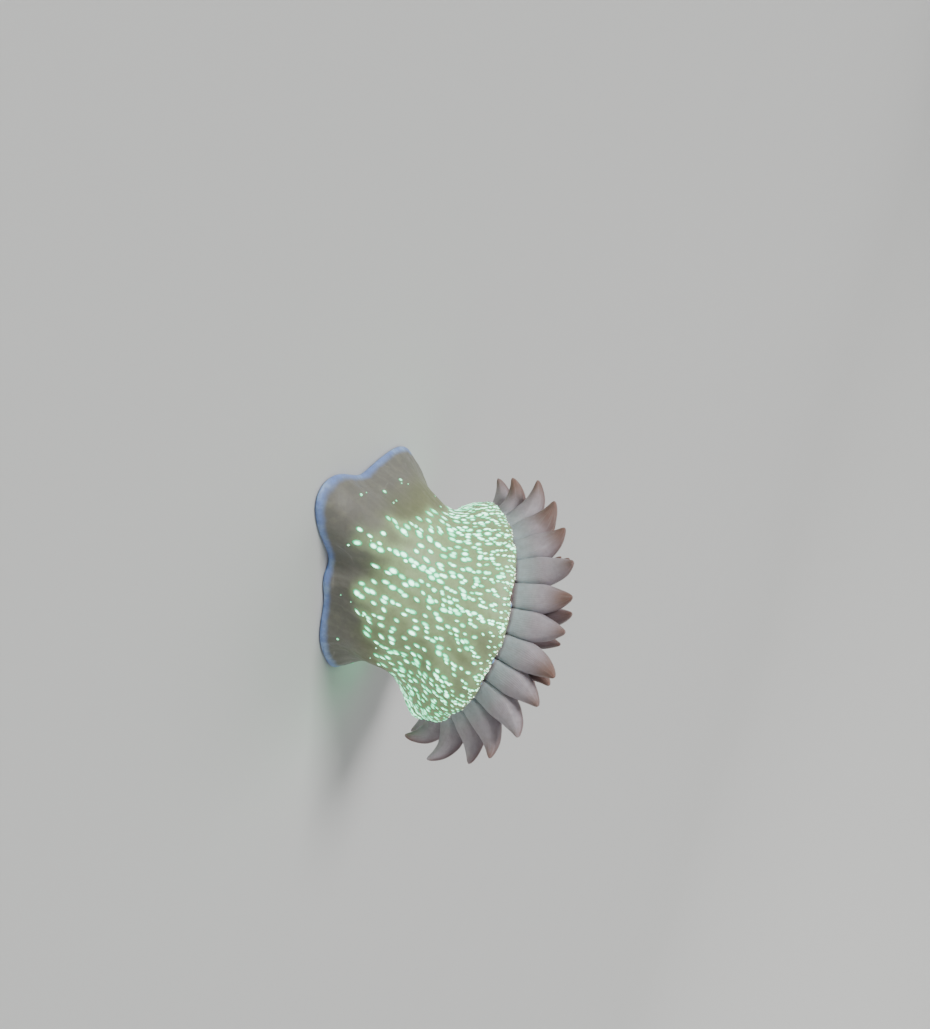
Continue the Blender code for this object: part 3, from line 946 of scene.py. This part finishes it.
def spot_places(settings):
    """(azimuth, height, half length, half width, turn, tone, warmth) of each spot."""
    rng = np.random.default_rng(settings.seed)
    azimuth, height = rng.uniform(0.0, TURN, SPOT_TRIES), rng.uniform(*SPOT_BAND, SPOT_TRIES)
    start = spot_start(azimuth)
    radius = column_radius(height)
    patches = lumps(np.stack([radius * np.cos(azimuth), radius * np.sin(azimuth), height], -1), 7.5, 31)
    share = smooth(height, 10.0, 18.5)
    likely = smooth(height, start - 1.0, start + 2.6)
    likely *= 1.0 - 0.8 * smooth(patches, 0.15, 0.8) * (1.0 - share)
    degrees = np.degrees(azimuth)
    likely *= 1.0 - 0.6 * bump(degrees, 180.0, 45.0) - 0.3 * bump(degrees, 0.0, 45.0)
    scatter = Scatter(SPOT_GAPS[1] * max(settings.low_spacing, settings.high_spacing) / MM)
    kept = []
    for i in np.nonzero(rng.uniform(size=SPOT_TRIES) < likely)[0]:
        gap = (settings.low_spacing * (1.0 - share[i]) + settings.high_spacing * share[i]) / MM
        place = (azimuth[i] * radius[i], height[i] * LENGTHWISE)
        if not scatter.fits(place, gap * rng.uniform(*SPOT_GAPS)):
            continue
        small = smooth(height[i], 13.0, 20.5)
        size = (settings.low_length * (1.0 - small) + settings.high_length * small) / MM
        size *= 1.0 - 0.28 * smooth(height[i], 19.5, 21.5)
        long = 0.5 * size * rng.uniform(0.72, 1.22)
        wide = long * rng.uniform(0.46, 0.68)
        # Spots on the side away from the key light, round azimuth 340, get painted shade: a deeper green on
        # top of their random tone.
        tone = min(rng.uniform() ** 1.6 + 0.6 * bump(degrees[i], 340.0, 40.0), 1.0)
        turn = rng.normal() * 0.16
        kept.append((azimuth[i], height[i], long, wide, turn, tone, 0.0))
        # Some run on in streaks along the column, and a few of these close up into bars.
        if rng.uniform() < 0.5 * (1.0 - 0.7 * share[i]):
            on = height[i]
            bar = rng.uniform() < 0.14
            for _ in range(rng.integers(4, 7) if bar else rng.integers(1, 3)):
                on += long * (rng.uniform(1.0, 1.2) if bar else rng.uniform(1.35, 1.95))
                beside = azimuth[i] + rng.uniform(-0.45, 0.45) * wide / radius[i]
                if on < SPOT_TOP:
                    shrunk = long * rng.uniform(0.7, 1.0), wide * rng.uniform(0.75, 1.0)
                    kept.append((beside, on, *shrunk, turn, tone, 0.0))
    # Small loose spots below the field, and the specks on the rim.
    for _ in range(LOOSE_SPOTS):
        aside = rng.uniform(0.0, TURN)
        at = rng.uniform(3.0, spot_start(aside) + 2.0)
        size = 0.14 + 0.42 * rng.uniform() ** 2.5
        kept.append((aside, at, size, size, 0.0, rng.uniform(), 0.0))
    for _ in range(settings.rim_specks):
        size = rng.uniform(0.09, 0.24)
        aside, at = rng.uniform(0.0, TURN), 22.5 - rng.exponential(0.5)
        kept.append((aside, at, size, size, 0.0, 0.0, rng.uniform(0.3, 1.0)))
    return np.array(kept)


def paint_spot_glow(skin, places, areas):
    """Keeps on the skin, as the attribute halo, how much of it near each point is under spots."""
    # The share sets where the spots' glow is painted on the flesh.
    points = read(skin.vertices, "co", 3) / MM
    halo = np.zeros(len(points))
    column = np.nonzero(read(skin.attributes["part"].data, "vector", 3)[:, 1] < 0.5)[0]
    width = 2.0 * PAINTED_GLOW_REACH**2
    # Forty lots keep the table of distances small.
    for some in np.array_split(column, 40):
        away = ((points[some][:, None, :] - places[None, :, :]) ** 2).sum(-1)
        halo[some] = (areas * np.exp(-away / width)).sum(-1) / (math.pi * width)
    attribute(skin, "halo", halo)


def spot_points(settings, skin):
    """A mesh of loose points on the skin that carry each spot's turn, size and tone."""
    azimuth, height, long, wide, turn, tone, warm = spot_places(settings).T
    tree = BVHTree.FromPolygons([v.co for v in skin.vertices], [p.vertices for p in skin.polygons])
    here, ahead = side_point(azimuth, height), side_point(azimuth, height + 0.3)
    points, turns = [], []
    for at, on, slant in zip(here, ahead, turn):
        place, normal = tree.find_nearest(Vector(at * MM))[:2]
        x = Vector(on - at)
        x = (x - normal * x.dot(normal)).normalized()
        x = math.cos(slant) * x + math.sin(slant) * normal.cross(x)
        turns.append(Matrix((x, normal.cross(x), normal)).transposed().to_euler())
        points.append(place)
    paint_spot_glow(skin, np.array(points) / MM, math.pi * long * wide)
    mesh = new_mesh("spot_points", points, [])
    attribute(mesh, "turn", [tuple(t) for t in turns])
    attribute(mesh, "size", np.stack([long * MM, wide * MM, np.full(len(long), THIN)], -1))
    attribute(mesh, "tone", tone)
    attribute(mesh, "warm", warm)
    return mesh


# ---- Operators ----


class ANEMONE_OT_skin(Operator):
    """Build the one continuous skin: foot, column, collar, disc, tentacles and mouth"""

    bl_idname = "anemone.skin"
    bl_label = "Build Skin"

    def execute(self, context):
        settings = context.scene.anemone_skin
        cage = skin_cage()
        mesh = new_mesh("skin_cage", [tuple(p * MM) for p in cage.points], cage.faces)
        if mesh.validate():
            raise RuntimeError("the skin's cage has faulty faces")
        for name in ("around", "part", "lot"):
            attribute(mesh, name, getattr(cage, name))
        skin = new_object("skin", mesh)
        rounding = skin.modifiers.new("Rounding", "SUBSURF")
        rounding.levels = rounding.render_levels = 2
        make_plain(skin)
        work_relief(skin.data, settings)
        skin.data.materials.append(skin_material(settings))
        finish_piece(skin)
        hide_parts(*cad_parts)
        return {"FINISHED"}


class ANEMONE_OT_spots(Operator):
    """Lay the mint spots, with their painted glow, over the column and the collar"""

    bl_idname = "anemone.spots"
    bl_label = "Lay Spots"

    def execute(self, context):
        settings = context.scene.anemone_spots
        skin = context.scene.objects.get("skin")
        if skin is None:
            raise RuntimeError("build the skin before its spots")
        spots = new_object("spots", spot_points(settings, skin.data))
        spot_tree(settings, skin, spot_material(settings)).apply(spots)
        finish_piece(spots)
        return {"FINISHED"}


class ANEMONE_OT_beads(Operator):
    """Set the ring of blue beads inside the collar"""

    bl_idname = "anemone.beads"
    bl_label = "Set Beads"

    def execute(self, context):
        settings = context.scene.anemone_beads
        beads = new_object("beads", new_mesh("bead_start", [], []))
        bead_tree(settings, bead_material(settings)).apply(beads)
        finish_piece(beads)
        return {"FINISHED"}


def add_camera(settings):
    """A camera that looks along +Y, down at its elevation, and is rolled about its own axis."""
    data = bpy.data.cameras.new("camera")
    data.lens = LENS
    data.clip_start, data.clip_end = 0.01, 10.0
    camera = new_object("camera", data)
    turn = Matrix.Rotation(0.5 * math.pi - settings.elevation, 4, "X")
    roll = Matrix.Rotation(0.5 * math.pi + settings.roll, 4, "Z")
    away = Matrix.Translation((AIM_RIGHT * MM, AIM_UP * MM, settings.distance))
    camera.matrix_world = turn @ roll @ away
    bpy.context.scene.camera = camera


def add_light(name, source, softness, strength):
    """A broad, far light, so that the floor and the backdrop are lit as evenly as the animal."""
    data = bpy.data.lights.new(name, "SUN")
    data.angle = math.radians(softness)
    data.energy = strength
    new_object(name, data).rotation_euler = (-Vector(source)).to_track_quat("-Z", "Y").to_euler()


def stage_mesh(material):
    """A round floor that curves up into a wall, with its faces towards the animal."""
    bend = np.linspace(0.1, 1.5, 14)
    cove = zip(FLOOR_RADIUS + COVE * np.sin(bend), COVE - COVE * np.cos(bend))
    profile = [(0.5 * FLOOR_RADIUS, 0.0), (FLOOR_RADIUS, 0.0), *cove, (FLOOR_RADIUS + COVE, WALL_TOP)]
    azimuths = [TURN * i / STAGE_SIDES for i in range(STAGE_SIDES)]
    points = [(r * math.cos(a), r * math.sin(a), z) for r, z in profile for a in azimuths]
    faces = [tuple(range(STAGE_SIDES))]
    for row in range(0, len(points) - STAGE_SIDES, STAGE_SIDES):
        for i in range(STAGE_SIDES):
            j = (i + 1) % STAGE_SIDES
            faces.append((row + j, row + i, row + STAGE_SIDES + i, row + STAGE_SIDES + j))
    mesh = new_mesh("floor", points, faces)
    mesh.shade_smooth()
    mesh.materials.append(material)
    return mesh


class ANEMONE_OT_stage(Operator):
    """Set the plain pale floor, the soft lights and the camera"""

    bl_idname = "anemone.stage"
    bl_label = "Set Stage"

    def execute(self, context):
        settings = context.scene.anemone_stage
        floor = new_object("floor", stage_mesh(stage_material(settings)))
        for name, source, softness, share in LAMPS:
            add_light(name, source, softness, settings.power * share)
        world = bpy.data.worlds.new("soft_room")
        world.use_nodes = True
        room = world.node_tree.nodes["Background"].inputs
        room["Color"].default_value = ROOM_COLOUR
        room["Strength"].default_value = ROOM_LIGHT
        context.scene.world = world
        add_camera(settings)
        return {"FINISHED"}


class ANEMONE_PT_panel(Panel):
    """Sizes, colours and building steps of the anemone"""

    bl_label = "Beadlet Anemone"
    bl_idname = "ANEMONE_PT_panel"
    bl_space_type = "VIEW_3D"
    bl_region_type = "UI"
    bl_category = "Anemone"

    def draw(self, context):
        for operator, name, group in STEPS:
            box = self.layout.box()
            box.operator(operator.bl_idname)
            for key in group.__annotations__:
                box.prop(getattr(context.scene, name), key)


STEPS = (  # each step's operator, and its settings' name on the scene and class
    (ANEMONE_OT_skin, "anemone_skin", SkinSettings),
    (ANEMONE_OT_spots, "anemone_spots", SpotSettings),
    (ANEMONE_OT_beads, "anemone_beads", BeadSettings),
    (ANEMONE_OT_stage, "anemone_stage", StageSettings),
)


def register():
    for operator, name, group in STEPS:
        bpy.utils.register_class(group)
        bpy.utils.register_class(operator)
        setattr(bpy.types.Scene, name, PointerProperty(type=group))
    bpy.utils.register_class(ANEMONE_PT_panel)


def unregister():
    bpy.utils.unregister_class(ANEMONE_PT_panel)
    for operator, name, group in STEPS:
        delattr(bpy.types.Scene, name)
        bpy.utils.unregister_class(operator)
        bpy.utils.unregister_class(group)


def main():
    register()
    bpy.ops.anemone.skin()
    bpy.ops.anemone.spots()
    bpy.ops.anemone.beads()
    bpy.ops.anemone.stage()


if __name__ == "__main__":
    main()
